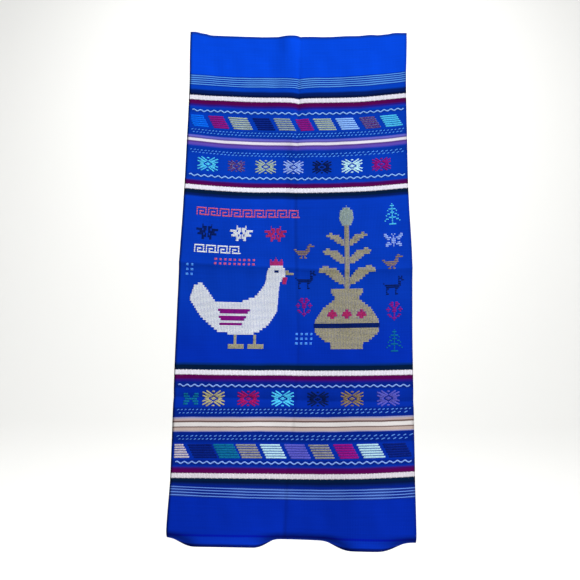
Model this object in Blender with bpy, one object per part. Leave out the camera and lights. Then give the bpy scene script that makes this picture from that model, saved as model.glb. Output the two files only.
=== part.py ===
"""Woven tapestry: one hand-woven cloth that hangs from its top edge.

Metres, +Z up. The front faces -Y, and the origin is the middle of the top edge.
A point of the cloth is named by how far it lies across (from the middle, + to the right as
seen from the front) and how far down (along the warp, from the top edge) it was woven.
"""
import bmesh
import bpy
import numpy as np

# Driving dimensions
WIDTH = 0.440           # selvage to selvage, at the widest
DROP = 0.964            # top edge to the hem fold, along the warp
HEM = 0.017             # turned strip below the hem fold
THICKNESS = 0.0014      # ground weave with the yarns that float on it
CLOTH_COLOUR = (0.005, 0.045, 0.55, 1.0)
CLOTH_ROUGHNESS = 0.85

# Each weft row is drawn up towards its two selvages: down, left, right
RISE = np.array([
    (0.000, 0.0090, 0.0095),
    (0.105, 0.0070, 0.0150),
    (0.135, 0.0065, 0.0115),
    (0.230, 0.0105, 0.0135),
    (0.325, 0.0080, 0.0115),
    (0.675, -0.0005, 0.0045),
    (0.766, -0.0035, 0.0065),
    (0.860, -0.0015, 0.0085),
    (0.888, 0.0038, 0.0077),
    (0.964, -0.0002, -0.0025),
])
RISE_POWER = 2.2        # how late the rise starts on the way to the selvage

# and sags a little halfway to each selvage: down, left, right
SAG = np.array([
    (0.000, 0.0003, 0.0003),
    (0.100, 0.0016, 0.0000),
    (0.137, 0.0004, 0.0014),
    (0.229, 0.0013, 0.0000),
    (0.325, 0.0016, 0.0000),
    (0.675, 0.0010, 0.0000),
    (0.766, 0.0008, -0.0005),
    (0.900, 0.0000, 0.0000),
    (0.964, -0.0008, 0.0018),
])

# The cloth narrows and widens a little as woven: down, left inset, right inset
SELVAGES = np.array([
    (0.000, 0.0025, 0.0030),
    (0.130, 0.0055, 0.0060),
    (0.320, 0.0050, 0.0055),
    (0.470, 0.0015, 0.0000),
    (0.630, 0.0015, 0.0020),
    (0.860, 0.0030, 0.0015),
    (0.964, 0.0000, 0.0005),
])

# The uneven top edge stands above or below its even sag: from the left selvage, height
TOP_EDGE = np.array([
    (0.000, 0.0020),
    (0.010, 0.0028),
    (0.028, 0.0000),
    (0.045, -0.0028),
    (0.085, -0.0022),
    (0.123, -0.0012),
    (0.150, -0.0015),
    (0.175, -0.0013),
    (0.196, 0.0003),
    (0.220, 0.0027),
    (0.245, 0.0008),
    (0.277, -0.0010),
    (0.318, 0.0004),
    (0.342, 0.0002),
    (0.366, 0.0014),
    (0.385, -0.0009),
    (0.400, -0.0003),
    (0.415, 0.0015),
    (0.440, 0.0000),
])
TOP_EDGE_REACH = 0.030  # how far down the unevenness fades out

# The lengthwise crease: down, across, how deep it is pressed back, how far it dips
LONG_CREASE = np.array([
    (0.000, 0.0050, 0.0011, 0.0030),
    (0.140, 0.0030, 0.0022, 0.0021),
    (0.230, 0.0010, 0.0014, 0.0007),
    (0.365, 0.0000, 0.0008, 0.0000),
    (0.640, 0.0085, 0.0006, 0.0000),
    (0.715, 0.0045, 0.0006, 0.0000),
    (0.900, -0.0095, 0.0008, 0.0000),
    (0.964, -0.0115, 0.0010, 0.0000),
])
LONG_CREASE_REACH = 0.010
CREASE_ROUNDING = 0.0015

# A soft ridge beside the lengthwise crease, only near the top
TOP_RIDGE = {"across": -0.020, "left": 0.016, "right": 0.025, "height": 0.0044, "ends": 0.130}

# Left of the crease the cloth steps back a little, and comes forward again: down, depth
FOLD_STEP = np.array([
    (0.180, 0.0000),
    (0.250, 0.0040),
    (0.310, 0.0040),
    (0.370, 0.0010),
    (0.964, 0.0000),
])
FOLD_STEP_WIDE = 0.024
FOLD_STEP_FADE = 0.150
FOLD_LIFT = 0.42        # and is drawn up by this share of the step

# Creases and soft ridges across the cloth: down at the left and right, reach, rounding, depth
CROSS_CREASES = (
    (0.345, 0.345, 0.024, 0.0150, -0.0040),
    (0.473, 0.484, 0.010, 0.0015, -0.0042),
    (0.719, 0.728, 0.010, 0.0015, 0.0046),
)

# The lower cloth waves forward over each lobe of the hem
WAVE_DEPTH = 0.004
WAVE_PERIOD = 0.250
WAVE_CENTRE = 0.010     # furthest back here, and again towards both selvages

# Two lobes of the hem hang down, and the rest turns back: distances from the left selvage
HEM_LOBES = (
    {"starts": -0.006, "full_from": 0.070, "full_to": 0.141, "ends": 0.199},
    {"starts": 0.270, "full_from": 0.343, "full_to": 0.352, "ends": 0.436},
)
LOBE_ANGLE = np.radians(-14.0)      # a lobe kicks a little forward
BACK_ANGLE = np.radians(98.0)       # the rest turns past level
LOBE_BEND = 0.006                   # length of cloth that takes up the bend in a lobe
BACK_BEND = 0.0268                  # and where the hem turns back
BACK_START = 0.013                  # the turned-back bend starts this far above the fold

# Grid lines, closer together at creases and bends: end of each band, number of steps
ACROSS_BANDS = (
    (0.045, 4), (0.145, 6), (0.200, 4), (0.250, 6), (0.325, 5), (0.372, 4), (WIDTH, 6),
)
DOWN_BANDS = (
    (0.030, 3), (0.130, 4), (0.320, 6), (0.370, 4), (0.450, 4), (0.510, 5), (0.690, 7),
    (0.750, 4), (0.945, 7), (DROP + HEM, 9),
)


def smoothstep(t):
    """0 up to t = 0, 1 from t = 1, and 3t^2 - 2t^3 between."""
    t = np.clip(t, 0.0, 1.0)
    return t * t * (3.0 - 2.0 * t)


def eased(at, table, column):
    """A table's column read at distances `at`, with a smoothstep from each row to the next."""
    stops, values = table[:, 0], table[:, column]
    row = np.clip(np.searchsorted(stops, at, side="right") - 1, 0, len(stops) - 2)
    step = smoothstep((at - stops[row]) / (stops[row + 1] - stops[row]))
    return values[row] + (values[row + 1] - values[row]) * step


def crease(distance, reach, rounding):
    """1 on the crease line, falling off as exp(-distance / reach), with a rounded tip."""
    return np.exp((rounding - np.hypot(distance, rounding)) / reach)


def lobe(across):
    """1 where the hem hangs down, 0 where it turns back, eased between."""
    from_left = across + WIDTH / 2
    share = np.zeros_like(across)
    for row in HEM_LOBES:
        rise = smoothstep((from_left - row["starts"]) / (row["full_from"] - row["starts"]))
        fall = smoothstep((from_left - row["full_to"]) / (row["ends"] - row["full_to"]))
        share += rise * (1.0 - fall)
    return share


def long_crease(across, down):
    """1 on the lengthwise crease, falling off to both sides."""
    return crease(across - eased(down, LONG_CREASE, 1), LONG_CREASE_REACH, CREASE_ROUNDING)


def fold_step(across, down):
    """How far the cloth steps back left of the lengthwise crease, before it comes forward."""
    aside = eased(down, LONG_CREASE, 1) - across
    return eased(down, FOLD_STEP, 1) * smoothstep(aside / FOLD_STEP_WIDE) * (
        1.0 - smoothstep((aside - FOLD_STEP_WIDE) / FOLD_STEP_FADE))


def depth(across, down):
    """How far back the cloth lies: its creases, its ridges, the step beside the lengthwise
    crease and the waves of the lower part."""
    back = eased(down, LONG_CREASE, 2) * long_crease(across, down) + fold_step(across, down)
    aside = across - TOP_RIDGE["across"]
    ridge = np.exp(-(aside / np.where(aside < 0.0, TOP_RIDGE["left"], TOP_RIDGE["right"])) ** 2)
    back -= TOP_RIDGE["height"] * ridge * (1.0 - smoothstep(down / TOP_RIDGE["ends"]))
    for left, right, reach, rounding, sink in CROSS_CREASES:
        place = left + (right - left) * smoothstep(across / WIDTH + 0.5)
        back += sink * crease(down - place, reach, rounding)
    swing = np.cos(2 * np.pi * (across - WAVE_CENTRE) / WAVE_PERIOD)
    back += WAVE_DEPTH * (down / DROP) ** 2 * swing
    return back


def hang(across, down):
    """Place of each point of the cloth, as arrays x, y and z.

    The body hangs straight down with its rise, insets and depth. Past the start of the hem's
    bend it follows an arc of that bend's length, and then a straight line at the full angle.
    """
    side = across / (WIDTH / 2)
    left, right = np.maximum(-side, 0.0), np.maximum(side, 0.0)
    hanging = lobe(across)
    bend_start = DROP - BACK_START * (1.0 - hanging)
    bend_length = BACK_BEND + (LOBE_BEND - BACK_BEND) * hanging
    angle = BACK_ANGLE + (LOBE_ANGLE - BACK_ANGLE) * hanging
    body = np.minimum(down, bend_start)

    x = across + eased(body, SELVAGES, 1) * left - eased(body, SELVAGES, 2) * right
    z = eased(body, RISE, 1) * left ** RISE_POWER + eased(body, RISE, 2) * right ** RISE_POWER
    z -= eased(body, SAG, 1) * np.sin(np.pi * left) ** 2
    z -= eased(body, SAG, 2) * np.sin(np.pi * right) ** 2
    z -= eased(body, LONG_CREASE, 3) * long_crease(across, body)
    z += FOLD_LIFT * fold_step(across, body)
    z += eased(across + WIDTH / 2, TOP_EDGE, 1) * (1.0 - smoothstep(body / TOP_EDGE_REACH))
    z -= body
    y = depth(across, body)

    past = down - body
    arc = np.minimum(past, bend_length)
    turned = angle * arc / bend_length
    y += arc * np.sin(turned / 2) * np.sinc(turned / (2 * np.pi)) + (past - arc) * np.sin(angle)
    z -= arc * np.sinc(turned / np.pi) + (past - arc) * np.cos(angle)
    return x, y, z


def lines(bands):
    """Distances of the grid lines, from 0, with each band cut into its number of equal steps."""
    stops = [np.zeros(1)]
    for end, steps in bands:
        stops.append(np.linspace(stops[-1][-1], end, steps + 1)[1:])
    return np.concatenate(stops)


def cloth_material():
    """Cotton yarn, woven and matt."""
    material = bpy.data.materials.new("woven_cotton")
    material.use_nodes = True
    shader = material.node_tree.nodes["Principled BSDF"]
    shader.inputs["Base Color"].default_value = CLOTH_COLOUR
    shader.inputs["Roughness"].default_value = CLOTH_ROUGHNESS
    shader.inputs["Metallic"].default_value = 0.0
    return material


def make_cloth():
    """The cloth as a bent grid, given its thickness by a Solidify modifier."""
    down, across = np.meshgrid(lines(DOWN_BANDS), lines(ACROSS_BANDS) - WIDTH / 2, indexing="ij")
    points = np.stack(hang(across, down), axis=-1)
    points -= np.stack(hang(np.zeros(1), np.zeros(1)), axis=-1)

    mesh = bpy.data.meshes.new("cloth")
    sheet = bmesh.new()
    rows = [[sheet.verts.new(point) for point in row] for row in points]
    for upper, lower in zip(rows, rows[1:]):
        for i in range(len(upper) - 1):
            sheet.faces.new((upper[i], lower[i], lower[i + 1], upper[i + 1]))
    sheet.to_mesh(mesh)
    sheet.free()
    mesh.shade_smooth()
    mesh.materials.append(cloth_material())

    cloth = bpy.data.objects.new("cloth", mesh)
    bpy.context.scene.collection.objects.link(cloth)
    solidify = cloth.modifiers.new("thickness", "SOLIDIFY")
    solidify.thickness = THICKNESS
    solidify.offset = 0.0


def main():
    for thing in list(bpy.data.objects):
        bpy.data.objects.remove(thing, do_unlink=True)
    make_cloth()


main()
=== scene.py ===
"""Looks of a hand-woven wall hanging: its ground cloth, woven stripes and brocade yarns.

Metres. The front faces -Y. A place on the cloth is (across, down): across from the middle,
+ to the right as seen from the front, and down along the warp from the top edge. The ground
cloth and every yarn on it are laid on the same hung surface, which `hang` gives.
"""

import bpy
import numpy as np
from mathutils import Matrix, Vector


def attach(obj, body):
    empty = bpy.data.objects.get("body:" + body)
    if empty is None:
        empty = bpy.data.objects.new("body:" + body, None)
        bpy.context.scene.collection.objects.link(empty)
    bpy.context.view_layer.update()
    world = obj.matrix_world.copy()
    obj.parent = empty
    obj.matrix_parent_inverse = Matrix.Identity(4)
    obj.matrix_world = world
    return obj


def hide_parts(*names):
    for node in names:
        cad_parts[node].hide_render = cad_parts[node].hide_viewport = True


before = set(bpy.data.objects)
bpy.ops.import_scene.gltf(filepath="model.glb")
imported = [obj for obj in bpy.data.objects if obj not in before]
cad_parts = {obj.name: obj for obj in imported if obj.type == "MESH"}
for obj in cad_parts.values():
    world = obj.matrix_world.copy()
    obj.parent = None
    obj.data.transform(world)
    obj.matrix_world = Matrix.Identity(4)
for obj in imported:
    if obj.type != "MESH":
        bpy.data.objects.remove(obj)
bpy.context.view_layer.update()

MM = 0.001
BODY = "root"
NODE = "cloth"

# --- the cloth as cut and as it hangs, the same sizes as its solid ---
WIDTH = 0.440           # selvage to selvage, at the widest
DROP = 0.964            # top edge to the hem fold, along the warp
HEM = 0.017             # turned strip below the hem fold
GROUND_THICK = 1.0 * MM
HEM_THICK = 1.3 * MM

# Each weft row is drawn up towards its two selvages: down, left, right
RISE = np.array([
    (0.000, 0.0090, 0.0095),
    (0.105, 0.0070, 0.0150),
    (0.135, 0.0065, 0.0115),
    (0.230, 0.0105, 0.0135),
    (0.325, 0.0080, 0.0115),
    (0.675, -0.0005, 0.0045),
    (0.766, -0.0035, 0.0065),
    (0.860, -0.0015, 0.0085),
    (0.888, 0.0038, 0.0077),
    (0.964, -0.0002, -0.0025),
])
RISE_POWER = 2.2        # how late the rise starts on the way to the selvage

# and sags a little halfway to each selvage: down, left, right
SAG = np.array([
    (0.000, 0.0003, 0.0003),
    (0.100, 0.0016, 0.0000),
    (0.137, 0.0004, 0.0014),
    (0.229, 0.0013, 0.0000),
    (0.325, 0.0016, 0.0000),
    (0.675, 0.0010, 0.0000),
    (0.766, 0.0008, -0.0005),
    (0.900, 0.0000, 0.0000),
    (0.964, -0.0008, 0.0018),
])

# The cloth narrows and widens a little as woven: down, left inset, right inset
SELVAGES = np.array([
    (0.000, 0.0025, 0.0030),
    (0.130, 0.0055, 0.0060),
    (0.320, 0.0050, 0.0055),
    (0.470, 0.0015, 0.0000),
    (0.630, 0.0015, 0.0020),
    (0.860, 0.0030, 0.0015),
    (0.964, 0.0000, 0.0005),
])

# The uneven top edge stands above or below its even sag: from the left selvage, height
TOP_EDGE = np.array([
    (0.000, 0.0020),
    (0.010, 0.0028),
    (0.028, 0.0000),
    (0.045, -0.0028),
    (0.085, -0.0022),
    (0.123, -0.0012),
    (0.150, -0.0015),
    (0.175, -0.0013),
    (0.196, 0.0003),
    (0.220, 0.0027),
    (0.245, 0.0008),
    (0.277, -0.0010),
    (0.318, 0.0004),
    (0.342, 0.0002),
    (0.366, 0.0014),
    (0.385, -0.0009),
    (0.400, -0.0003),
    (0.415, 0.0015),
    (0.440, 0.0000),
])
TOP_EDGE_REACH = 0.030  # how far down the unevenness fades out

# The lengthwise crease: down, across, how deep it is pressed back, how far it dips
LONG_CREASE = np.array([
    (0.000, 0.0050, 0.0011, 0.0030),
    (0.140, 0.0030, 0.0022, 0.0021),
    (0.230, 0.0010, 0.0014, 0.0007),
    (0.365, 0.0000, 0.0008, 0.0000),
    (0.640, 0.0085, 0.0006, 0.0000),
    (0.715, 0.0045, 0.0006, 0.0000),
    (0.900, -0.0095, 0.0008, 0.0000),
    (0.964, -0.0115, 0.0010, 0.0000),
])
LONG_CREASE_REACH = 0.010
CREASE_ROUNDING = 0.0015

# A soft ridge beside the lengthwise crease, only near the top
TOP_RIDGE = {"across": -0.020, "left": 0.016, "right": 0.025, "height": 0.0044, "ends": 0.130}

# Left of the crease the cloth steps back a little, and comes forward again: down, depth
FOLD_STEP = np.array([
    (0.180, 0.0000),
    (0.250, 0.0040),
    (0.310, 0.0040),
    (0.370, 0.0010),
    (0.964, 0.0000),
])
FOLD_STEP_WIDE = 0.024
FOLD_STEP_FADE = 0.150
FOLD_LIFT = 0.42        # and is drawn up by this share of the step

# Creases and soft ridges across the cloth: down at the left and right, reach, rounding, depth
CROSS_CREASES = (
    (0.345, 0.345, 0.024, 0.0150, -0.0040),
    (0.473, 0.484, 0.010, 0.0015, -0.0042),
    (0.719, 0.728, 0.010, 0.0015, 0.0046),
)

# The lower cloth waves forward over each lobe of the hem
WAVE_DEPTH = 0.004
WAVE_PERIOD = 0.250
WAVE_CENTRE = 0.010     # furthest back here, and again towards both selvages

# Two lobes of the hem hang down, and the rest turns back: distances from the left selvage
HEM_LOBES = (
    {"starts": -0.006, "full_from": 0.070, "full_to": 0.141, "ends": 0.199},
    {"starts": 0.270, "full_from": 0.343, "full_to": 0.352, "ends": 0.436},
)
LOBE_ANGLE = np.radians(-14.0)      # a lobe kicks a little forward
BACK_ANGLE = np.radians(98.0)       # the rest turns past level
LOBE_BEND = 0.006                   # length of cloth that takes up the bend in a lobe
BACK_BEND = 0.0268                  # and where the hem turns back
BACK_START = 0.013                  # the turned-back bend starts this far above the fold

# Small uneven waves that the solid leaves out: across and down wavelengths, phase, height
SMALL_WAVES = (
    (0.110, 0.170, 0.4, 0.00050),
    (0.061, 0.097, 2.1, 0.00028),
    (0.037, 0.210, 4.0, 0.00022),
)

# --- the brocade's grid ---
TIE = 2.8 * MM          # warp spacing of the ties that hold the floats down
LOZENGE_ROW = 4.35 * MM
FIELD_ROW = LOZENGE_ROW / 2     # the field's floats are laid twice as close

# --- woven stripes, in sections from the top down: start mm, soft edge mm, colour ---
STRIPES = (
    (
        # painted shade along the top edge
        (0.0, 0.0, "top_edge_shade"),
        (4.8, 4.4, "panel"),
        (88.4, 3.0, "panel_lines"),
        (112.0, 2.0, "panel_edge"),
        (120.5, 4.0, "ink_blue"),
        (127.5, 3.0, "ink"),
        (133.1, 1.6, "white"),
        (141.8, 1.2, "maroon"),
        (151.2, 4.6, "indigo"),
        (154.5, 1.8, "indigo_blue"),
        (157.0, 2.0, "ground"),
        (161.5, 3.0, "ground_near"),
        (170.5, 3.0, "ground"),
    ), (
        (190.0, 0.0, "ground"),
        (204.0, 3.0, "ground_near"),
        (219.8, 1.6, "lilac"),
        (223.5, 1.6, "mauve"),
        (226.3, 1.2, "white"),
        (231.8, 1.2, "plum_line"),
        (235.2, 1.6, "violet"),
        (240.2, 2.0, "violet_blue"),
        (242.5, 1.6, "ground_near"),
        (255.5, 3.0, "ground"),
    ), (
        (277.0, 0.0, "ground"),
        (296.5, 3.0, "ground_near"),
        (305.5, 3.0, "ground"),
        (311.0, 3.0, "plum"),
        (315.0, 2.0, "maroon"),
        (320.9, 1.8, "white"),
        (329.3, 1.8, "green_ink"),
        (338.0, 3.0, "ink_blue"),
        (343.6, 4.0, "field_top"),
    ), (
        (360.0, 0.0, "field_top"),
        (420.0, 100.0, "field_middle"),
        (580.0, 100.0, "field_low"),
    ), (
        (640.0, 0.0, "field_low"),
        (657.0, 4.0, "field_edge"),
        (660.8, 2.2, "green_ink"),
        (670.6, 1.6, "white_low"),
        (679.0, 1.2, "maroon"),
        (687.5, 4.6, "indigo"),
        (691.6, 2.4, "ground_low_near"),
        (703.0, 3.0, "ground_low"),
    ), (
        (720.0, 0.0, "ground_low"),
        (737.5, 3.0, "ground_low_near"),
        (754.2, 1.2, "rose_edge"),
        (756.6, 1.2, "rose"),
        (760.7, 0.9, "umber"),
        (763.6, 0.9, "cream"),
        (770.9, 0.9, "umber"),
        (772.8, 0.9, "peach"),
        (778.6, 0.9, "rose_edge"),
        (780.1, 1.2, "ground_low_near"),
        (799.5, 3.0, "ground_low"),
    ), (
        (820.0, 0.0, "ground_low"),
        (831.0, 3.0, "ground_low_near"),
        (840.5, 3.0, "ground_low"),
        (844.2, 3.6, "plum"),
        (848.0, 1.8, "maroon"),
        (854.8, 1.8, "white_low"),
        (862.7, 1.4, "green_ink"),
        (869.0, 2.0, "ink"),
        (872.5, 2.0, "ink_blue"),
        (875.5, 2.0, "panel_lines_low"),
        (899.0, 3.0, "panel_low"),
        # painted shade at the hem's fold and its lower edge, and the hem between painted a little
        # lighter: painted light
        (960.0, 1.6, "fold_line"),
        (963.5, 1.6, "hem"),
        (976.2, 2.6, "hem_edge_shade"),
    ),
)

# Painted shade along the lengthwise crease: down, share of the light it takes
CREASE_SHADE = (
    (0.000, 0.05), (0.140, 0.12), (0.230, 0.10), (0.365, 0.26), (0.640, 0.13), (0.860, 0.13),
    (0.964, 0.20),
)
CREASE_LINE = 6.0 * MM      # and how far it reaches to each side
SELVAGE_SHADE = (6.5 * MM, 0.5)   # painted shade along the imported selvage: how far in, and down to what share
HEM_SHADE = (13.0 * MM, 0.52)   # and painted shade at the turned hem's fold: how far from it, and by what share

# Fine stripes of one pale pick each: first centre mm, spacing mm, count, colour
PINSTRIPES = ((91.3, 4.45, 5, "pin_upper"), (881.8, 4.85, 4, "pin_lower"))
PINSTRIPE_WIDE = 1.2        # mm
PINSTRIPE_SOFT = 0.9        # mm, of the soft edge on each side

# Colours of the woven stripes and pinstripes
# The _low, _lower, field_middle and field_low colours are darker towards the bottom:
# partly the dye, partly painted shade for weaker light lower down
COLOURS = {
    # top_edge_shade is painted shade along the top edge
    "top_edge_shade": "0A38A4",
    "panel": "0149E4",
    "panel_lines": "0231A8",
    "panel_edge": "013FC1",
    "ink_blue": "021C62",
    "ink": "021240",
    "green_ink": "01193A",
    "white": "E8E4F2",
    "white_low": "D4CED8",
    "maroon": "54024C",
    "indigo": "1E1687",
    "indigo_blue": "2329A9",
    "ground": "0239B6",
    # ground_near and ground_low_near: darker ground round the brocade, partly denser weft, partly
    # painted shade of the floats
    "ground_near": "0234A6",
    "lilac": "6868CE",
    "mauve": "5F52A2",
    "plum_line": "593A90",
    "violet": "604BB6",
    "violet_blue": "2B3BB6",
    "plum": "44065C",
    "field_top": "033ABF",
    "field_middle": "0336B0",
    "field_low": "012DAE",
    "field_edge": "022B7A",
    "ground_low": "022BA0",
    # painted shade of the floats, partly a denser weft
    "ground_low_near": "012184",
    "rose_edge": "9495BE",
    "rose": "B4A1A2",
    "umber": "624B48",
    "cream": "DBD7D7",
    "peach": "B9A7A1",
    "panel_lines_low": "021D7E",
    "panel_low": "0127A4",
    # fold_line and hem_edge_shade are painted shade where the hem turns; hem is painted light,
    # lighter where it faces up
    "fold_line": "0114A0",
    "hem": "032DAC",
    "hem_edge_shade": "02115E",
    "pin_upper": "6AB5FF",
    "pin_lower": "6C98EC",
}

# --- brocade yarns: colour, and the tone of the ply that flecks it ---
YARNS = {
    "bleached": ("EAE9F5", "DEDEEC"),
    # bleached_shaded is the bleached yarn with painted shade, for weaker light lower down
    "bleached_shaded": ("DAD6DE", "CAC6D0"),
    "white": ("F0F3F4", "D8E2E8"),
    "mint": ("B6DCE8", "98C4D6"),
    "ice": ("C6F2FC", "AADAEA"),
    "tan": ("B4AE86", "908A62"),
    "sage": ("A9BBAF", "8A9E90"),
    "stone": ("94A6A9", "76868A"),
    "taupe": ("929292", "706F6E"),
    "brown": ("8E7A5E", "6C5A46"),
    "blush": ("C4BCC6", "A69AA4"),
    "pale": ("94C4FF", "8ABAFF"),
    # The _low yarns are darker: partly the dye, partly painted shade for weaker light lower down
    "pale_low": ("8AACF0", "7C9EE4"),
    "sky": ("5AA4FC", "4E96FA"),
    "sky_low": ("5E92E2", "5084D6"),
    "azure": ("0164EC", "0474F6"),
    "cyan": ("54CCF4", "38A8DE"),
    "lavender": ("9EBCFA", "7C98E4"),
    "violet": ("5C5CC2", "4848A8"),
    "navy": ("041C5C", "021444"),
    "midnight": ("021C76", "02145C"),
    "teal": ("086C96", "055378"),
    "magenta": ("960D80", "720A6C"),
    "raspberry": ("A01264", "7A0C54"),
    "crimson": ("C02C62", "98204A"),
    "coral": ("DA6484", "B84C70"),
    "plum": ("561C6E", "6C78A6"),
}

# Soft yarns, which fill out and close the gaps
CLOSE_YARNS = ("azure", "magenta", "raspberry", "midnight", "navy", "plum", "teal", "violet")

# --- bands of motifs: distance of each from the left selvage in mm, and its yarn ---
UPPER_LOZENGES = (      # and its width in mm
    (0, 31, "azure"), (41, 31, "magenta"), (81, 39, "sage"), (130, 35, "midnight"),
    (172, 34, "stone"), (216, 27, "magenta"), (252, 36, "sage"), (297, 36, "pale"),
    (345, 31, "plum"), (386, 34, "cyan"),
)
LOWER_LOZENGES = (
    (-16, 38, "blush"), (30, 44, "midnight"), (76, 38, "teal"), (117, 37, "taupe"),
    (161, 37, "mint"), (205, 37, "violet"), (249, 36, "taupe"), (294, 34, "magenta"),
    (336, 39, "mint"), (382, 42, "midnight"),
)
UPPER_STARS = (         # and its size
    (44, 1.0, "cyan"), (101, 0.82, "plum"), (159, 1.0, "sage"), (214, 0.98, "lavender"),
    (271, 0.92, "navy"), (330, 1.0, "ice"), (388, 0.90, "magenta"),
)
LOWER_STARS = (
    (74, 1.0, "tan"), (138, 0.97, "raspberry"), (201, 1.0, "cyan"), (266, 0.95, "navy"),
    (328, 1.0, "brown"), (394, 1.0, "violet"),
)
# Stitches of a star's upper left quarter, from its middle in mm: x, y of start, x, y of end
STAR_QUARTER = (
    (-13.4, -14.0, -0.6, -5.6),
    (-20.4, -11.3, -3.0, -4.1),
    (-14.4, -7.0, -5.4, -2.9),
    (-20.8, -5.4, -8.0, -1.4),
)
STAR_HEART = (          # and the stitches of its diamond and of its four short points
    (-2.4, -1.6, 2.4, -1.6), (-5.2, 0.0, 5.2, 0.0), (-2.4, 1.6, 2.4, 1.6),
    (-16.0, 0.0, -8.8, 0.0), (8.8, 0.0, 16.0, 0.0),
    (-2.6, -12.6, 2.6, -12.6), (-2.6, 12.6, 2.6, 12.6),
)
# A small bow, drawn as a chart with X for yarn
BOW = (
    "XXX....XXX",
    "XXXX..XXXX",
    ".XXXXXXXX.",
    "XXXX..XXXX",
    "XXX....XXX",
)

# --- outlines of the field's large motifs, in mm from each one's middle, + right and + down ---
BIRD_MIDDLE = (122, 0.566)
BIRD_BODY = (
    (-100, -26), (-92, -52), (-78, -58), (-66, -44), (-50, -22), (-6, -22), (26, -34),
    (42, -58), (46, -84), (56, -94), (72, -94), (80, -84), (80, -70), (70, -60),
    (68, -36), (66, -6), (50, 20), (28, 36), (-10, 40), (-46, 32), (-76, 8),
)
BIRD_FEATHERS = tuple(
    ((-46 + i, -8 + 12 * i), (16 - 6 * i, -8 + 12 * i), (10 - 6 * i, -1 + 12 * i),
     (-40 + i, -1 + 12 * i)) for i in range(3))
BIRD_EYE = ((60, -85), (67, -85), (67, -78), (60, -78))
BIRD_BEAK = ((80, -84), (98, -76), (80, -73))
BIRD_COMB = (
    (50, -94), (50, -107), (57, -99), (62, -109), (67, -99), (74, -107), (76, -94),
)
BIRD_WATTLE = ((74, -68), (84, -70), (82, -56), (75, -57))
BIRD_LEG = ((-14, 38), (-8, 38), (-8, 58), (6, 58), (6, 63), (-24, 63), (-24, 58), (-14, 58))
BIRD_LEGS = (BIRD_LEG, tuple((x + 36, y) for x, y in BIRD_LEG))

JAR_MIDDLE = (318, 0.500)
JAR_SIDE = (
    (30, 18), (30, 27), (23, 31), (23, 38), (44, 54), (60, 78), (60, 100), (38, 118), (30, 120),
    (30, 130),
)
JAR_BAND = ((-62, 83), (62, 83), (62, 92), (-62, 92))
JAR_DIAMONDS = tuple(
    ((x - 11, 66), (x, 57), (x + 11, 66), (x, 75)) for x in (-27, 0, 27))
STALK = ((-5, 18), (-5, -104), (5, -104), (5, 18))
LEAF = ((5, 12), (5, -4), (20, -20), (44, -26), (56, -16), (38, -10), (22, 4))
COB = ((-8, -104), (-14, -116), (-12, -134), (0, -142), (12, -134), (14, -116), (8, -104))

# --- small motifs drawn as charts, X for yarn ---
MEANDER = (
    "XXXXXXX.",
    "X.....X.",
    "X.XXX.X.",
    "X.X...X.",
    "X.XXXXXX",
)
FIR = (
    ".....X.....",
    "....XXX....",
    ".....X.....",
    "...XXXXX...",
    "..X..X..X..",
    "....XXX....",
    "..XX.X.XX..",
    ".X...X...X.",
    "...XXXXX...",
    ".XX..X..XX.",
    "X....X....X",
    ".....X.....",
    "...XXXXX...",
)
BUTTERFLY = (
    "XX...X.X...XX",
    "XXX...X...XXX",
    ".XXXX.X.XXXX.",
    "..XX.XXX.XX..",
    ".....XXX.....",
    "..XX.XXX.XX..",
    ".XXXX.X.XXXX.",
    ".XX...X...XX.",
)
SMALL_BIRD = (
    "..........XX....",
    ".........XXXXX..",
    ".........XX.....",
    "XX......XXX.....",
    ".XXXXXXXXXX.....",
    "..XXXXXXXX......",
    "...XXXXXX.......",
    ".....X.X........",
    "....XX.XX.......",
)
SMALL_DEER = (
    "..........X.X..",
    "..........XXX..",
    "..........X.XX.",
    "..........XX...",
    "X.........XX...",
    ".XXXXXXXXXXX...",
    "..XXXXXXXXX....",
    "..XX....XX.....",
    "..X.....X......",
    "..X.....X......",
    "..XX....XX.....",
)
FLOWER = (
    "...XX.XX...",
    "..XXX.XXX..",
    "...XX.XX...",
    ".X..XXX..X.",
    "XXX.XXX.XXX",
    ".X..XXX..X.",
    ".....X.....",
    ".XX..X..XX.",
    "..XX.X.XX..",
    "....XXX....",
    ".....X.....",
)


# --- the hung surface ---

def smoothstep(t):
    """0 up to t = 0, 1 from t = 1, and 3t^2 - 2t^3 between."""
    t = np.clip(t, 0.0, 1.0)
    return t * t * (3.0 - 2.0 * t)


def eased(at, table, column):
    """A table's column read at distances `at`, with a smoothstep from each row to the next."""
    stops, values = table[:, 0], table[:, column]
    row = np.clip(np.searchsorted(stops, at, side="right") - 1, 0, len(stops) - 2)
    step = smoothstep((at - stops[row]) / (stops[row + 1] - stops[row]))
    return values[row] + (values[row + 1] - values[row]) * step


def crease(distance, reach, rounding):
    """1 on the crease line, falling off as exp(-distance / reach), with a rounded tip."""
    return np.exp((rounding - np.hypot(distance, rounding)) / reach)


def lobe(across):
    """1 where the hem hangs down, 0 where it turns back, eased between."""
    from_left = across + WIDTH / 2
    share = np.zeros_like(across)
    for row in HEM_LOBES:
        rise = smoothstep((from_left - row["starts"]) / (row["full_from"] - row["starts"]))
        fall = smoothstep((from_left - row["full_to"]) / (row["ends"] - row["full_to"]))
        share += rise * (1.0 - fall)
    return share


def long_crease(across, down):
    """1 on the lengthwise crease, falling off to both sides."""
    return crease(across - eased(down, LONG_CREASE, 1), LONG_CREASE_REACH, CREASE_ROUNDING)


def fold_step(across, down):
    """How far the cloth steps back left of the lengthwise crease, before it comes forward."""
    aside = eased(down, LONG_CREASE, 1) - across
    return eased(down, FOLD_STEP, 1) * smoothstep(aside / FOLD_STEP_WIDE) * (
        1.0 - smoothstep((aside - FOLD_STEP_WIDE) / FOLD_STEP_FADE))


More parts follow.
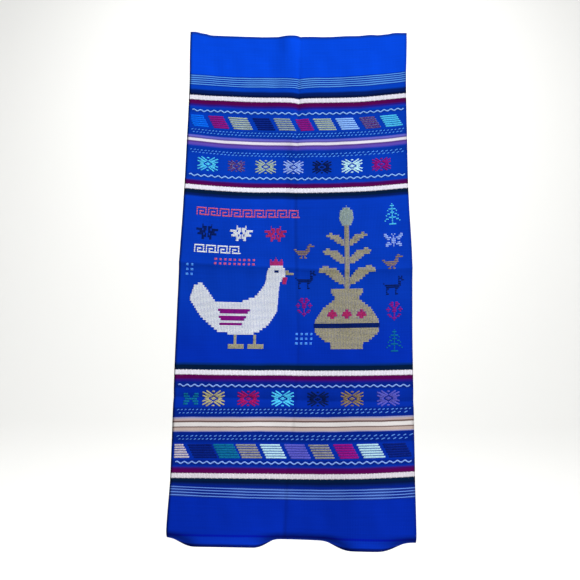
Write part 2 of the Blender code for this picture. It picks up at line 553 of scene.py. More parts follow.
def depth(across, down):
    """How far back the cloth lies: its creases, the step beside the lengthwise one, its ridges
    and lower waves, and small sine waves."""
    back = eased(down, LONG_CREASE, 2) * long_crease(across, down) + fold_step(across, down)
    aside = across - TOP_RIDGE["across"]
    ridge = np.exp(-(aside / np.where(aside < 0.0, TOP_RIDGE["left"], TOP_RIDGE["right"])) ** 2)
    back -= TOP_RIDGE["height"] * ridge * (1.0 - smoothstep(down / TOP_RIDGE["ends"]))
    for left, right, reach, rounding, sink in CROSS_CREASES:
        place = left + (right - left) * smoothstep(across / WIDTH + 0.5)
        back += sink * crease(down - place, reach, rounding)
    swing = np.cos(2 * np.pi * (across - WAVE_CENTRE) / WAVE_PERIOD)
    back += WAVE_DEPTH * (down / DROP) ** 2 * swing
    for wide, tall, phase, height in SMALL_WAVES:
        turn = 2 * np.pi * across / wide + phase
        back += height * np.sin(turn + np.sin(2 * np.pi * down / tall)) * np.cos(
            2 * np.pi * down / tall + phase)
    return back


def hang(across, down):
    """Points of the cloth's middle surface.

    The body hangs straight down with its rise, insets and depth. Past the start of the hem's
    bend it follows an arc of that bend's length, and then a straight line at the full angle.
    """
    side = across / (WIDTH / 2)
    left, right = np.maximum(-side, 0.0), np.maximum(side, 0.0)
    hanging = lobe(across)
    bend_start = DROP - BACK_START * (1.0 - hanging)
    bend_length = BACK_BEND + (LOBE_BEND - BACK_BEND) * hanging
    angle = BACK_ANGLE + (LOBE_ANGLE - BACK_ANGLE) * hanging
    body = np.minimum(down, bend_start)

    x = across + eased(body, SELVAGES, 1) * left - eased(body, SELVAGES, 2) * right
    z = eased(body, RISE, 1) * left ** RISE_POWER + eased(body, RISE, 2) * right ** RISE_POWER
    z -= eased(body, SAG, 1) * np.sin(np.pi * left) ** 2
    z -= eased(body, SAG, 2) * np.sin(np.pi * right) ** 2
    z -= eased(body, LONG_CREASE, 3) * long_crease(across, body)
    z += FOLD_LIFT * fold_step(across, body)
    z += eased(across + WIDTH / 2, TOP_EDGE, 1) * (1.0 - smoothstep(body / TOP_EDGE_REACH))
    z -= body
    y = depth(across, body)

    past = down - body
    arc = np.minimum(past, bend_length)
    turned = angle * arc / bend_length
    y += arc * np.sin(turned / 2) * np.sinc(turned / (2 * np.pi)) + (past - arc) * np.sin(angle)
    z -= arc * np.sinc(turned / np.pi) + (past - arc) * np.cos(angle)
    return np.stack([x, y, z], axis=-1)


ORIGIN = hang(np.zeros(1), np.zeros(1))[0]


def surface(across, down, lift):
    """Points `lift` in front of the middle surface, along its normal by central differences."""
    step = 0.4 * MM
    by_across = hang(across + step, down) - hang(across - step, down)
    by_down = hang(across, down + step) - hang(across, down - step)
    normal = np.cross(by_down, by_across)
    normal /= np.linalg.norm(normal, axis=-1, keepdims=True)
    return hang(across, down) - ORIGIN + normal * np.asarray(lift)[..., None]


# --- meshes ---

def mesh_object(name, points, polygons, lengths, material):
    """A smooth mesh from points, arrays of same-sided polygons, and a UV pair for each point."""
    mesh = bpy.data.meshes.new(name)
    corners = np.concatenate([group.ravel() for group in polygons]).astype(np.int32)
    sides = np.concatenate([np.full(len(group), group.shape[1]) for group in polygons])
    mesh.vertices.add(len(points))
    mesh.vertices.foreach_set("co", points.astype(np.float32).ravel())
    mesh.loops.add(len(corners))
    mesh.loops.foreach_set("vertex_index", corners)
    mesh.polygons.add(len(sides))
    starts = np.concatenate([[0], np.cumsum(sides)[:-1]]).astype(np.int32)
    mesh.polygons.foreach_set("loop_start", starts)
    mesh.update(calc_edges=True)
    uv = mesh.uv_layers.new(name="lengths")
    uv.data.foreach_set("uv", lengths[corners].astype(np.float32).ravel())
    mesh.materials.append(material)
    mesh.shade_smooth()
    piece = bpy.data.objects.new(name, mesh)
    bpy.context.scene.collection.objects.link(piece)
    return piece


def grid_lines(bands):
    """Distances of grid lines, from 0, with each (end, step) band cut into about that step."""
    stops = [np.zeros(1)]
    for end, step in bands:
        start = stops[-1][-1]
        count = int(round((end - start) / step))
        stops.append(np.linspace(start, end, count + 1)[1:])
    return np.concatenate(stops)


def ground_cloth(material):
    """The sheet: the hung surface shifted half its thickness to the front and to the back, the
    two joined round the rim. The turned hem is a little thicker."""
    across = grid_lines((
        (0.204, 4.6 * MM), (0.240, 1.4 * MM), (WIDTH, 4.6 * MM))) - WIDTH / 2
    down = grid_lines((
        (0.020, 2.0 * MM), (0.470, 4.0 * MM), (0.488, 1.8 * MM), (0.711, 4.0 * MM),
        (0.730, 1.8 * MM), (0.945, 4.0 * MM), (DROP + HEM, 1.4 * MM)))
    down, across = np.meshgrid(down, across, indexing="ij")
    half = GROUND_THICK / 2 + (HEM_THICK - GROUND_THICK) / 2 * smoothstep((down - DROP) / (2 * MM))
    points = np.concatenate([
        surface(across, down, half).reshape(-1, 3), surface(across, down, -half).reshape(-1, 3)])
    lengths = np.stack([across + WIDTH / 2, down], axis=-1).reshape(-1, 2)

    rows, columns = across.shape
    index = np.arange(rows * columns).reshape(rows, columns)
    front = np.stack([index[:-1, :-1], index[1:, :-1], index[1:, 1:], index[:-1, 1:]], axis=-1)
    front = front.reshape(-1, 4)
    behind = front[:, ::-1] + rows * columns
    rim = np.concatenate([index[0, ::-1], index[1:, 0], index[-1, 1:], index[-2:0:-1, -1]])
    ahead = np.roll(rim, -1)
    wall = np.stack([rim, rim + rows * columns, ahead + rows * columns, ahead], axis=-1)
    return mesh_object("ground_cloth", points, [front, behind, wall],
                       np.concatenate([lengths, lengths]), material)


def strands(name, sections, wide, proud, material):
    """Yarns lying on the front: a half-round profile carried along each strand.

    `sections` holds, for every section of every strand in turn: its centre (across, down), its
    unit direction, its share of the full size, and its strand's number. A profile point at
    angle a is wide / 2 * cos(a) to the side and proud * sin(a) in front of the ground.
    """
    centre, heading, share, owner = sections
    angle = np.linspace(0.0, np.pi, 5)
    aside = wide / 2 * share[:, None] * np.cos(angle)
    across = centre[:, :1] - heading[:, 1:] * aside
    down = centre[:, 1:] + heading[:, :1] * aside
    lift = GROUND_THICK * 0.4 + proud * share[:, None] * np.sin(angle)
    points = surface(across, down, lift).reshape(-1, 3)

    along = np.hypot(*np.diff(centre, axis=0, prepend=centre[:1]).T).cumsum()
    lengths = np.stack(np.broadcast_arrays(along[:, None], aside), axis=-1).reshape(-1, 2)

    ring = np.arange(len(angle))
    following = np.roll(ring, -1)
    here = np.flatnonzero(owner[1:] == owner[:-1])[:, None] * len(angle)
    ahead = here + len(angle)
    sides = np.stack([here + ring, ahead + ring, ahead + following, here + following], axis=-1)
    first = np.flatnonzero(np.diff(owner, prepend=-1))[:, None] * len(angle)
    last = np.flatnonzero(np.diff(owner, append=-1))[:, None] * len(angle)
    return mesh_object(
        name, points, [sides.reshape(-1, 4), first + ring, last + ring[::-1]], lengths, material)


def straight(starts, ends, step, rounding, dent=0.0):
    """Sections of straight strands from `starts` to `ends`, each with (across, down) rows.

    The share of full size follows a quarter circle over `rounding` at both ends, and dips by
    `dent` on every tie: share = 1 - dent * cos(pi * across / TIE)^4.
    """
    length = np.hypot(*(ends - starts).T)
    counts = np.maximum(np.round(length / step).astype(int), 2) + 1
    owner = np.repeat(np.arange(len(counts)), counts)
    number = np.arange(len(owner)) - np.repeat(np.cumsum(counts) - counts, counts)
    t = number / (counts[owner] - 1)
    heading = ((ends - starts) / length[:, None])[owner]
    centre = starts[owner] + (ends - starts)[owner] * t[:, None]
    from_end = np.minimum(t, 1.0 - t) * length[owner]
    short = 1.0 - np.clip(from_end / rounding, 0.0, 1.0)
    share = np.maximum(np.sqrt(1.0 - short ** 2), 0.5)
    share *= 1.0 - dent * np.cos(np.pi * centre[:, 0] / TIE) ** 4
    return centre, heading, share, owner


def floats(name, spans, row, key, wide=0.9, dent=0.2):
    """Level floats of one yarn. `spans` rows are start, end and down, and the ends move to the
    nearest third of a tie, so that the dents fall on the ties."""
    third = TIE / 3
    spans = np.concatenate(spans)
    start = np.round(spans[:, 0] / third) * third
    end = np.round(spans[:, 1] / third) * third
    kept = end - start > 1.5 * third
    starts = np.stack([start, spans[:, 2]], axis=-1)[kept]
    ends = np.stack([end, spans[:, 2]], axis=-1)[kept]
    sections = straight(starts, ends, third, 1.2 * MM, dent)
    return strands(name, sections, row * wide, 0.75 * MM, yarn_of(key))


# --- materials ---

def linear(colour):
    """An sRGB hex colour as linear red, green, blue and alpha."""
    value = np.array([int(colour[i:i + 2], 16) for i in (0, 2, 4)]) / 255.0
    value = np.where(value <= 0.04045, value / 12.92, ((value + 0.055) / 1.055) ** 2.4)
    return (*[float(v) for v in value], 1.0)


def add(tree, kind, settings=(), **links):
    """A node of a kind, with its settings. Inputs are named in_NUMBER, or by name with _."""
    node = tree.nodes.new("ShaderNode" + kind)
    for key, value in dict(settings).items():
        setattr(node, key, value)
    for key, value in links.items():
        name = key.removeprefix("in_")
        socket = node.inputs[int(name)] if name.isdigit() else node.inputs[name.replace("_", " ")]
        if isinstance(value, bpy.types.NodeSocket):
            tree.links.new(value, socket)
        else:
            socket.default_value = value
    return node


def maths(tree, operation, *values):
    """The result of a Math node."""
    links = {f"in_{i}": value for i, value in enumerate(values)}
    return add(tree, "Math", {"operation": operation}, **links).outputs[0]


def blend(tree, share, first, second):
    """The result of a colour Mix node."""
    return add(tree, "Mix", {"data_type": "RGBA"}, in_0=share, in_6=first, in_7=second).outputs[2]


def new_material(name, roughness, specular, sheen):
    """A named material, its node tree and its Principled shader."""
    material = bpy.data.materials.new(name)
    material.use_nodes = True
    shader = material.node_tree.nodes["Principled BSDF"]
    shader.inputs["Roughness"].default_value = roughness
    shader.inputs["Specular IOR Level"].default_value = specular
    shader.inputs["Sheen Weight"].default_value = sheen
    return material, material.node_tree, shader


def stripe_ramp(tree, place, bands, end):
    """A ramp from the first of the bands (start mm, soft edge mm, colour) to the end, with two
    stops for each soft edge."""
    begin = bands[0][0]
    share = add(tree, "MapRange", Value=place, From_Min=begin * MM, From_Max=end * MM)
    node = add(tree, "ValToRGB", Fac=share.outputs[0])
    ramp = node.color_ramp
    ramp.elements.remove(ramp.elements[-1])
    ramp.elements[0].color = linear(COLOURS[bands[0][2]])
    for (_, _, before), (start, soft, after) in zip(bands, bands[1:]):
        for side, colour in ((-0.5, before), (0.5, after)):
            stop = ramp.elements.new((start + side * soft - begin) / (end - begin))
            stop.color = linear(COLOURS[colour])
    return node.outputs[0]


def followed(tree, place, table):
    """A table of (place, value) rows as nodes, with a smoothstep from each row to the next."""
    value = table[0][1]
    for (start, before), (end, after) in zip(table, table[1:]):
        step = add(tree, "MapRange", {"interpolation_type": "SMOOTHSTEP"}, Value=place,
                   From_Min=start, From_Max=end, To_Max=after - before)
        value = maths(tree, "ADD", step.outputs[0], value)
    return value


def ease(tree, value, end, first, last):
    """`first` where a value is 0 and `last` from `end` on, with a smoothstep between."""
    return add(tree, "MapRange", {"interpolation_type": "SMOOTHSTEP"}, Value=value,
               From_Max=end, To_Min=first, To_Max=last).outputs[0]


def woven_cotton():
    """Cotton cloth, weft-faced, with woven stripes. The dye is deep and nearly even, picks of
    other dye lots leave faint streaks across, and the surface is matt."""
    material, tree, shader = new_material("weft_faced_cotton", 0.95, 0.04, 0.0)
    uv = add(tree, "UVMap", {"uv_map": "lengths"}).outputs[0]
    part = add(tree, "SeparateXYZ", Vector=uv)
    across, down = part.outputs["X"], part.outputs["Y"]

    # A stripe's edge steps over and under each warp, and wanders by part of a pick. What these
    # two add on average is taken off again
    tooth = maths(tree, "PINGPONG", across, TIE / 2)
    drift = add(tree, "TexNoise", Vector=uv, Scale=22.0, Detail=2.0).outputs[0]
    place = maths(tree, "MULTIPLY_ADD", tooth, 0.35, down)
    place = maths(tree, "MULTIPLY_ADD", drift, 1.6 * MM, place)
    place = maths(tree, "SUBTRACT", place, 1.05 * MM)

    ends = [section[0][0] for section in STRIPES[1:]] + [(DROP + HEM) / MM]
    colour = stripe_ramp(tree, place, STRIPES[0], ends[0])
    for section, end in zip(STRIPES[1:], ends[1:]):
        after = maths(tree, "GREATER_THAN", place, section[0][0] * MM)
        colour = blend(tree, after, colour, stripe_ramp(tree, place, section, end))

    # Pale pinstripes, with paler picks between them in patches
    patch = add(tree, "TexNoise", Vector=uv, Scale=14.0, Detail=1.0).outputs[0]
    patch = add(tree, "MapRange", Value=patch, From_Min=0.42, From_Max=0.68, To_Max=0.12).outputs[0]
    for first, spacing, count, pale in PINSTRIPES:
        number = maths(tree, "SUBTRACT", place, (first - spacing / 2) * MM)
        off = maths(tree, "PINGPONG", number, spacing / 2 * MM)
        line = add(tree, "MapRange", Value=off, To_Min=patch,
                   From_Min=(spacing - PINSTRIPE_WIDE - PINSTRIPE_SOFT) / 2 * MM,
                   From_Max=(spacing - PINSTRIPE_WIDE + PINSTRIPE_SOFT) / 2 * MM).outputs[0]
        after = maths(tree, "GREATER_THAN", number, 0.0)
        before = maths(tree, "LESS_THAN", number, spacing * count * MM)
        share = maths(tree, "MULTIPLY", line, maths(tree, "MULTIPLY", after, before))
        colour = blend(tree, share, colour, linear(COLOURS[pale]))

    # Picks of slightly different dye: streaks about 2 mm tall that run 100 mm across
    stretch = add(tree, "Mapping", Vector=uv, Scale=(10.0, 480.0, 1.0)).outputs[0]
    streak = add(tree, "TexNoise", Vector=stretch, Scale=1.0, Detail=2.0).outputs[0]
    wash = add(tree, "TexNoise", Vector=uv, Scale=9.0, Detail=3.0).outputs[0]
    tone = maths(tree, "MULTIPLY_ADD", streak, 0.25, 0.765)
    tone = maths(tree, "MULTIPLY_ADD", wash, 0.22, tone)

    # Painted shade along the lengthwise crease, and painted shade at the selvages
    line = followed(tree, down, [(row[0], row[1] + WIDTH / 2) for row in LONG_CREASE.tolist()])
    aside = maths(tree, "ABSOLUTE", maths(tree, "SUBTRACT", across, line))
    near = ease(tree, aside, CREASE_LINE, 1.0, 0.0)
    shade = maths(tree, "MULTIPLY", near, followed(tree, down, CREASE_SHADE))
    tone = maths(tree, "MULTIPLY", tone, maths(tree, "SUBTRACT", 1.0, shade))
    inside = maths(tree, "MINIMUM", across, maths(tree, "SUBTRACT", WIDTH, across))
    tone = maths(tree, "MULTIPLY", tone, ease(tree, inside, SELVAGE_SHADE[0], SELVAGE_SHADE[1], 1.0))

    # Painted shade at the fold of the hem, where the hem is turned to the back
    turns = (("starts", 1.0), ("full_from", 0.0), ("full_to", 0.0), ("ends", 1.0))
    turned = followed(
        tree, across, [(row[key], share) for row in HEM_LOBES for key, share in turns])
    off_fold = maths(tree, "ABSOLUTE", maths(tree, "SUBTRACT", down, DROP))
    shade = maths(tree, "MULTIPLY", turned, ease(tree, off_fold, *HEM_SHADE, 0.0))
    tone = maths(tree, "MULTIPLY", tone, maths(tree, "SUBTRACT", 1.0, shade))
    toned = add(tree, "HueSaturation", Value=tone, Color=colour)
    tree.links.new(toned.outputs[0], shader.inputs["Base Color"])

    # Ribs over the warps, crossed by picks that are drawn wider than they are, so that they show
    warp = maths(tree, "SINE", maths(tree, "MULTIPLY", across, 2 * np.pi / TIE))
    pick = maths(tree, "SINE", maths(tree, "MULTIPLY", down, 2 * np.pi / FIELD_ROW))
    weave = maths(tree, "MULTIPLY_ADD", pick, 0.6, warp)
    weave = maths(tree, "MULTIPLY_ADD", streak, 3.0, weave)
    bump = add(tree, "Bump", Strength=0.3, Distance=0.12 * MM, Height=weave).outputs[0]
    tree.links.new(bump, shader.inputs["Normal"])
    return material


def yarn(name, colour, fleck):
    """Spun cotton brocade yarn of several plies. The plies' twist shows as fine slanted ribs, and
    the yarn is flecked where a second tone is plied in."""
    material, tree, shader = new_material(name, 0.80, 0.06, 0.0)
    place = add(tree, "TexCoord").outputs["Object"]
    drift = add(tree, "TexNoise", Vector=place, Scale=550.0, Detail=2.0).outputs[0]
    share = add(tree, "MapRange", Value=drift, From_Min=0.36, From_Max=0.54).outputs[0]
    tint = blend(tree, share, linear(fleck), linear(colour))
    tree.links.new(tint, shader.inputs["Base Color"])
    uv = add(tree, "UVMap", {"uv_map": "lengths"}).outputs[0]
    turned = add(tree, "Mapping", Vector=uv, Rotation=(0.0, 0.0, np.radians(40.0))).outputs[0]
    twist = add(tree, "TexWave", Vector=turned, Scale=0.314 / (1.1 * MM)).outputs["Fac"]
    bump = add(tree, "Bump", Strength=0.35, Distance=0.1 * MM, Height=twist).outputs[0]
    tree.links.new(bump, shader.inputs["Normal"])
    return material


yarns = {}


def yarn_of(key):
    """The material of one yarn of the table, made once."""
    if key not in yarns:
        yarns[key] = yarn(key + "_brocade_yarn", *YARNS[key])
    return yarns[key]


# --- bands of brocade ---

def ribbed_band(name, start, end, key):
    """A white band's upright floats: one low half-round bead over each warp group, side by side,
    its ends ragged by a sine and a cosine of the bead's number."""
    count = int((WIDTH - 2 * MM) / TIE)
    number = np.arange(count)
    across = (number - (count - 1) / 2) * TIE
    starts = np.stack([across, start + 0.6 * MM * np.sin(number * 2.4)], axis=-1)
    ends = np.stack([across, end + 0.5 * MM * np.cos(number * 1.7)], axis=-1)
    sections = straight(starts, ends, 1.4 * MM, 1.6 * MM)
    return strands(name, sections, TIE * 0.84, 0.35 * MM, yarn_of(key))


def zigzag(name, down, key):
    """One couched yarn that runs to and fro: centre = down + 1.6 mm * sine, one period each
    13.7 mm, with a slower wander of 0.3 mm. It is a little slimmer on its slopes."""
    across = np.arange(-WIDTH / 2 + 8 * MM, WIDTH / 2 - 6 * MM, 0.9 * MM)
    turn = 2 * np.pi * across / (13.7 * MM)
    wander = 0.3 * MM * np.sin(turn / 3.7)
    centre = np.stack([across, down + 1.6 * MM * np.sin(turn) + wander], axis=-1)
    heading = np.gradient(centre, axis=0)
    heading /= np.hypot(*heading.T)[:, None]
    share = 1.0 - 0.12 * np.cos(turn) ** 2
    sections = (centre, heading, share, np.zeros(len(across), int))
    return strands(name, sections, 2.6 * MM, 0.9 * MM, yarn_of(key))


def dashes(name, key, rows):
    """Rows of short slanted floats, drawn out little by little to the right. Each row is its
    down, and in mm its spacing at the left and at the right selvage and its shift to the right.
    With growth = (far - near) / WIDTH, float k starts near / growth * (exp(growth * k) - 1)
    along, and a sine of k makes it up to a seventh longer or shorter. The yarn is drawn tighter
    near the left selvage, so the floats are up to a quarter slimmer there.
    """
    starts, ends = [], []
    for down, *spacings in rows:
        near, far, shift = np.array(spacings) * MM
        growth = (far - near) / WIDTH
        count = int(np.log1p(growth * (WIDTH - 15 * MM - shift) / near) / growth) + 1
        along = near / growth * np.expm1(growth * np.arange(count))
        spacing = near + growth * along
        across = along - WIDTH / 2 + 7.5 * MM + shift
        spacing *= 1.0 + 0.15 * np.sin(2.3 * np.arange(count) + 400.0 * down)
        starts.append(np.stack([across, down + 0.11 * spacing], axis=-1))
        ends.append(np.stack([across + 0.55 * spacing, down - 0.11 * spacing], axis=-1))
    centre, heading, share, owner = straight(
        np.concatenate(starts), np.concatenate(ends), 0.8 * MM, 1.2 * MM)
    share *= 0.75 + 0.25 * smoothstep((centre[:, 0] + WIDTH / 2) / (70 * MM))
    return strands(name, (centre, heading, share, owner), 1.9 * MM, 0.6 * MM, yarn_of(key))


def lozenges(name, top, row):
    """A band of leaning lozenges, each of six floats that step to the right, one piece a yarn."""
    step = np.arange(6)
    inset = WIDTH / 2 - 5 * MM
    pieces = []
    for key in dict.fromkeys(key for _, _, key in row):
        spans = []
        for from_left, wide, of_key in row:
            if of_key == key:
                start = (from_left + 2.35 * step) * MM - WIDTH / 2
                end = np.minimum(start + wide * MM, inset)
                at = top + (step + 0.5) * LOZENGE_ROW
                spans.append(np.stack([np.maximum(start, -inset), end, at], axis=-1))
        share = 0.99 if key in CLOSE_YARNS else 0.86
        pieces.append(floats(f"{name}_{key}", spans, LOZENGE_ROW, key, share))
    return pieces


def star(name, from_left, down, size, key):
    """A star of stitches about a small diamond: slanted stitches point to each corner, and a
    short one to each side. One quarter is stated, and mirrored to the other three."""
    quarter = np.array(STAR_QUARTER)
    mirrored = [quarter * (x, y, x, y) for x, y in ((1, 1), (-1, 1), (1, -1), (-1, -1))]
    stitches = np.concatenate([*mirrored, STAR_HEART]) * MM * size
    middle = np.array([from_left * MM - WIDTH / 2, down])
    sections = straight(stitches[:, :2] + middle, stitches[:, 2:] + middle, 0.9 * MM, 1.3 * MM)
    wide = 3.3 if key in CLOSE_YARNS else 2.8
    return strands(name, sections, wide * MM * size, 0.8 * MM, yarn_of(key))


def chart_spans(chart, from_left, down, cell, row):
    """Spans for each run of X in a chart whose middle is at the place."""
    cells = np.array([[mark == "X" for mark in line] for line in chart])
    edge = np.diff(cells.astype(int), axis=1, prepend=0, append=0)
    line, first = np.nonzero(edge == 1)
    end = np.nonzero(edge == -1)[1]
    left = from_left * MM - WIDTH / 2 - cells.shape[1] * cell / 2
    at = down + (line - (cells.shape[0] - 1) / 2) * row
    return np.stack([left + first * cell, left + end * cell, at], axis=-1)


def charted(name, chart, places, key, cell, row):
    """Copies of a chart in one yarn, at places of (from the left selvage in mm, down in m)."""
    spans = [chart_spans(chart, *place, cell, row) for place in places]
    return floats(name, spans, row, key)


def bands():
    """Every band of brocade outside the field, from the top down."""
    pieces = [
        ribbed_band("white_ribs_1", 0.1327, 0.1423, "bleached"),
        ribbed_band("white_ribs_2", 0.3206, 0.3300, "bleached"),
        ribbed_band("white_ribs_3", 0.6701, 0.6793, "bleached"),
        ribbed_band("white_ribs_4", 0.8545, 0.8633, "bleached_shaded"),
        zigzag("zigzag_1", 0.1655, "pale"),
        zigzag("zigzag_2", 0.3010, "pale"),
        zigzag("zigzag_3", 0.6985, "pale_low"),
        zigzag("zigzag_4", 0.8355, "pale_low"),
        dashes("dashes_upper", "sky", (
            (0.2080, 7.0, 7.6, 0.0), (0.2134, 7.0, 7.6, 3.5),
            (0.2503, 7.0, 9.6, 0.0), (0.2552, 7.0, 9.6, 3.5))),
        dashes("dashes_lower", "sky_low", (
            (0.7412, 7.0, 8.2, 0.0), (0.7468, 7.0, 12.0, 3.5),
            (0.7880, 8.4, 11.0, 1.0), (0.7936, 7.0, 11.0, 4.5))),
    ]
    pieces += lozenges("lozenges_upper", 0.1755, UPPER_LOZENGES)
    pieces += lozenges("lozenges_lower", 0.8020, LOWER_LOZENGES)
    pieces += [star(f"star_upper_{key}", at, 0.2770, size, key) for at, size, key in UPPER_STARS]
    pieces += [star(f"star_lower_{key}", at, 0.7212, size, key) for at, size, key in LOWER_STARS]
    pieces.append(charted("bow", BOW, [(32, 0.7222)], "teal", TIE, LOZENGE_ROW))
    return pieces


# --- the field's brocade ---

def fill_spans(outlines, at):
    """Spans that fill outlines by the even-odd rule, in pairs of rows that end alike.

    The outlines are in mm from the place `at`. On each pair's middle line, the crossings of all
    the outlines' sides, in order, open and close the spans.
    """
    middle = np.array([at[0] * MM - WIDTH / 2, at[1]])
    corners = [np.array(outline, float) * MM + middle for outline in outlines]
    first = np.concatenate(corners)
    second = np.concatenate([np.roll(outline, -1, axis=0) for outline in corners])
    block = 2 * FIELD_ROW
    top, bottom = np.round(np.array([first[:, 1].min(), first[:, 1].max()]) / block)
    spans = []
    for level in (np.arange(top, bottom) + 0.5) * block:
        crossed = (first[:, 1] <= level) != (second[:, 1] <= level)
        near, far = first[crossed], second[crossed]
        share = (level - near[:, 1]) / (far[:, 1] - near[:, 1])
        ends = np.sort(near[:, 0] + share * (far[:, 0] - near[:, 0])).reshape(-1, 2)
        for down in (level - FIELD_ROW / 2, level + FIELD_ROW / 2):
            spans.append(np.column_stack([ends, np.full(len(ends), down)]))
    return np.concatenate(spans)


def with_mirror_image(half):
    """A closed outline from its right half, top to bottom: the half, then its mirror image."""
    return [*half, *[(-x, y) for x, y in reversed(half)]]


def leaves():
    """Three pairs of leaves up the stalk, each pair smaller than the one below."""
    outlines = []
    for height, size in ((0, 1.0), (-38, 0.85), (-72, 0.70)):
        leaf = [(5 + (x - 5) * size, height + y * size) for x, y in LEAF]
        outlines += [leaf, [(-x, y) for x, y in leaf]]
    return outlines


def eight_point_star(reach):
    """Eight leaning diamonds round a point, a little apart, and half as wide again as tall."""
    angle = np.arange(9) * np.pi / 4
    spokes = np.stack([1.5 * np.cos(angle), np.sin(angle)], axis=-1) * reach
    outlines = []
    for spoke, following in zip(spokes, spokes[1:]):
        diamond = np.array([(0.0, 0.0), spoke, spoke + following, following])
        middle = diamond.mean(axis=0)
        outlines.append(middle + (diamond - middle) * 0.88)
    return outlines


def small_dashes(count, down_steps):
    """Outlines of rows of leaning dashes, 9 mm apart and 5 mm long, one row for each step."""
    return [[(9 * i + 2, y), (9 * i + 7, y), (9 * i + 5, y + 4), (9 * i, y + 4)]
            for y in down_steps for i in range(count)]


def field():
    """The field: a standing bird, a leafing plant in a jar, and small motifs round them. Each
    row below is a name, a yarn, how deep the ties dent it, its middle and its outlines."""
    jar = with_mirror_image(JAR_SIDE)
    shapes = (
        ("bird_body", "white", 0.40, BIRD_MIDDLE, [BIRD_BODY, *BIRD_FEATHERS, BIRD_EYE]),
        ("bird_feathers", "magenta", 0.25, BIRD_MIDDLE, BIRD_FEATHERS),
        ("bird_eye", "navy", 0.25, BIRD_MIDDLE, [BIRD_EYE]),
        ("bird_beak_and_legs", "tan", 0.25, BIRD_MIDDLE, [BIRD_BEAK, *BIRD_LEGS]),
        ("bird_comb", "crimson", 0.25, BIRD_MIDDLE, [BIRD_COMB, BIRD_WATTLE]),
        ("jar", "tan", 0.40, JAR_MIDDLE, [jar, JAR_BAND, *JAR_DIAMONDS]),
        ("jar_band", "navy", 0.25, JAR_MIDDLE, [JAR_BAND]),
        ("jar_diamonds", "crimson", 0.25, JAR_MIDDLE, JAR_DIAMONDS),
        ("stalk_and_leaves", "tan", 0.40, JAR_MIDDLE, [STALK, *leaves()]),
        ("cob", "sage", 0.30, JAR_MIDDLE, [COB]),
        ("eight_point_star_navy", "navy", 0.25, (50, 0.412), eight_point_star(9.7)),
        ("eight_point_star_white", "white", 0.25, (116, 0.412), eight_point_star(9.7)),
        ("eight_point_star_crimson", "crimson", 0.25, (182, 0.412), eight_point_star(9.7)),
        ("dashes_by_the_head", "coral", 0.20, (66, 0.462), small_dashes(9, (0, 8))),
        ("dashes_by_the_jar", "sky", 0.20, (222, 0.600), small_dashes(4, (0, 8, 16))),
        ("dashes_at_the_left", "sky", 0.20, (12, 0.476), small_dashes(2, (0, 8, 16))),
    )
    pieces = [
        floats(name, [fill_spans(outlines, middle)], FIELD_ROW, key, wide=0.98, dent=dent)
        for name, key, dent, middle, outlines in shapes]
    charts = (
        ("meander_coral", MEANDER, [(16 + 22.4 * i, 0.372) for i in range(1, 10)], "coral"),
        ("meander_white", MEANDER, [(16 + 22.4 * i, 0.444) for i in range(1, 5)], "white"),
        ("fir_cyan", FIR, [(406, 0.378)], "cyan"),
        ("butterfly_lavender", BUTTERFLY, [(406, 0.428)], "lavender"),
        ("small_bird_brown", SMALL_BIRD, [(406, 0.470), (240, 0.445)], "brown"),
        ("small_deer_navy", SMALL_DEER, [(406, 0.514), (242, 0.500)], "navy"),
        ("flower_magenta", FLOWER, [(406, 0.562), (238, 0.552)], "magenta"),
        ("fir_teal", FIR, [(406, 0.616)], "teal"),
    )
    return pieces + [charted(*row, TIE, 3.2 * MM) for row in charts]


# --- stage ---

# Where the camera stands, how it is turned in degrees, and its lens in mm
CAMERA_PLACE = (0.0285, -1.4234, -0.8263)
CAMERA_TURN = {"yaw": -1.484, "pitch": 12.116, "roll": 0.926}
CAMERA_LENS = 48.45


def make_camera():
    """A camera a little below the cloth's middle, looking slightly up."""
    data = bpy.data.cameras.new("camera")
    data.lens = CAMERA_LENS
    data.sensor_width = 36.0
    camera = bpy.data.objects.new("camera", data)
    turn = {key: np.radians(value) for key, value in CAMERA_TURN.items()}
    camera.matrix_world = (
        Matrix.Translation(CAMERA_PLACE)
        @ Matrix.Rotation(-turn["yaw"], 4, "Z")
        @ Matrix.Rotation(np.pi / 2 + turn["pitch"], 4, "X")
        @ Matrix.Rotation(turn["roll"], 4, "Z"))
    bpy.context.scene.collection.objects.link(camera)
    bpy.context.scene.camera = camera


def put_light(data, towards, place=(0.0, 0.0, 0.0)):
    """Put a light at a place, shining along a direction."""
    light = bpy.data.objects.new(data.name, data)
    light.location = place
    light.rotation_mode = "QUATERNION"
    light.rotation_quaternion = Vector(towards).to_track_quat("-Z", "Y")
    bpy.context.scene.collection.objects.link(light)


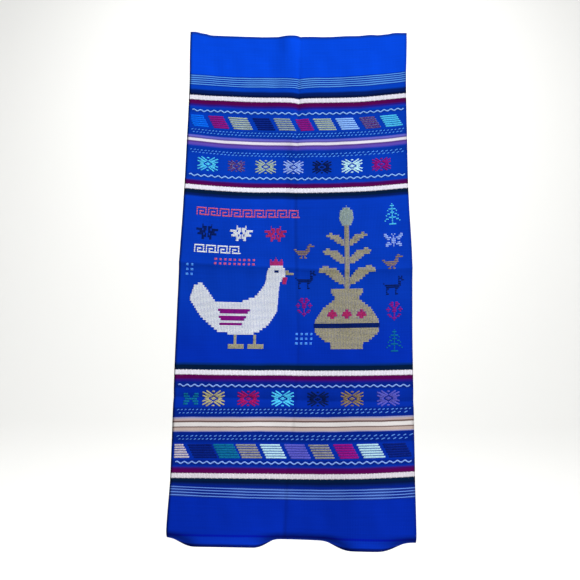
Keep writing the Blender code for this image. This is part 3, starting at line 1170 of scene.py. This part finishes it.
def make_light(name, place, aim, size, power):
    """A soft square light at a place, aimed at a point."""
    data = bpy.data.lights.new(name, "AREA")
    data.size = size
    data.energy = power
    put_light(data, Vector(aim) - Vector(place), place)


def make_sun(towards, spread, strength):
    """The key light: it comes from far off, along a direction, with soft-edged shadows."""
    data = bpy.data.lights.new("key", "SUN")
    data.angle = spread
    data.energy = strength
    put_light(data, towards)


def make_stage():
    """A pale floor that curves up into a far backdrop: a floor line, a quarter arc and a wall."""
    floor, arc, wall_at, top, wide = -1.45, 0.8, 2.8, 3.0, 5.0
    turn = np.linspace(0.0, np.pi / 2, 13)
    y = np.concatenate([[-4.0], wall_at - arc + arc * np.sin(turn), [wall_at]])
    z = np.concatenate([[floor], floor + arc - arc * np.cos(turn), [top]])
    x = np.array([-wide, wide])
    points = np.stack([np.repeat(x, len(y)), np.tile(y, 2), np.tile(z, 2)], axis=-1)
    here = np.arange(len(y) - 1)
    faces = np.stack([here + len(y), here + len(y) + 1, here + 1, here], axis=-1)
    material, _, shader = new_material("painted_paper", 0.9, 0.3, 0.0)
    shader.inputs["Base Color"].default_value = linear("C8C8C6")
    backdrop = mesh_object("backdrop", points, [faces], points[:, :2], material)


def light_scene():
    """A soft room: weak light from all round, a key from the right and above that grazes the
    folds, and soft lights on the cloth's back and on the backdrop."""
    scene = bpy.context.scene
    scene.view_settings.view_transform = "Standard"
    world = bpy.data.worlds.new("soft_room")
    world.use_nodes = True
    world.node_tree.nodes["Background"].inputs["Color"].default_value = (1.0, 1.0, 1.0, 1.0)
    world.node_tree.nodes["Background"].inputs["Strength"].default_value = 0.13
    scene.world = world
    make_sun((-0.58, 0.50, -0.64), np.radians(12.0), 4.25)
    make_light("back", (0.9, 1.5, 0.5), (0.0, 0.0, -0.5), 1.4, 14.0)
    make_light("backdrop_wash", (0.0, 0.9, 1.6), (0.0, 2.8, -0.2), 2.0, 70.0)


# --- put together ---

make_camera()
make_stage()
light_scene()

cloth = ground_cloth(woven_cotton())
brocade = bands() + field()
for piece in [cloth, *brocade]:
    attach(piece, BODY)
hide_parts(NODE)
